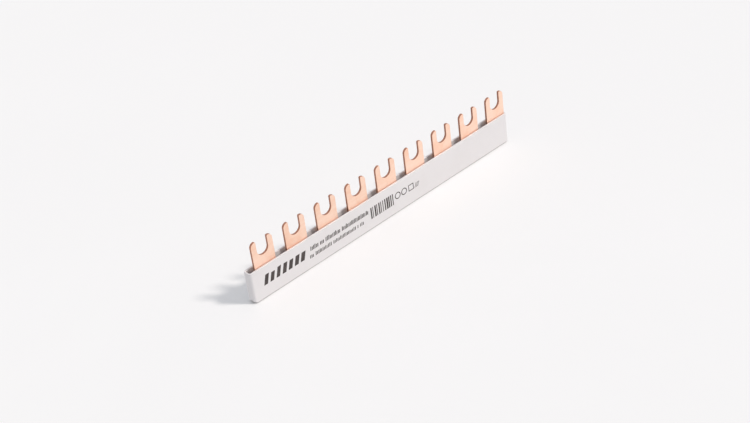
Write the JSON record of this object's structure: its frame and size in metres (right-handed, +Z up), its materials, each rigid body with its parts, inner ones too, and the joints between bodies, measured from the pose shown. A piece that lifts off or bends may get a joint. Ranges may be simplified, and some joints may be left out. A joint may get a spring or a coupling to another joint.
{
  "type": "comb busbar",
  "caption": "Single-pole comb busbar: a stamped copper strip whose row of open forks stands out of a slim moulded insulating trough.",
  "frame": {"origin": "middle of the underside of the trough", "axes": "+X along the trough, -Y out of its printed front, +Z up to the fork tips"},
  "size_m": [0.1586, 0.0044, 0.028],
  "materials": {
    "copper": "bare rolled copper with a soft satin sheen, darker on its sheared edges",
    "insulation": "warm white moulded plastic, fine matt",
    "ink": "thin matt dark print on the front of the trough"
  },
  "bodies": {
    "root": {"copper_comb": "copper", "insulating_trough": "insulation"}
  },
  "joints": []
}
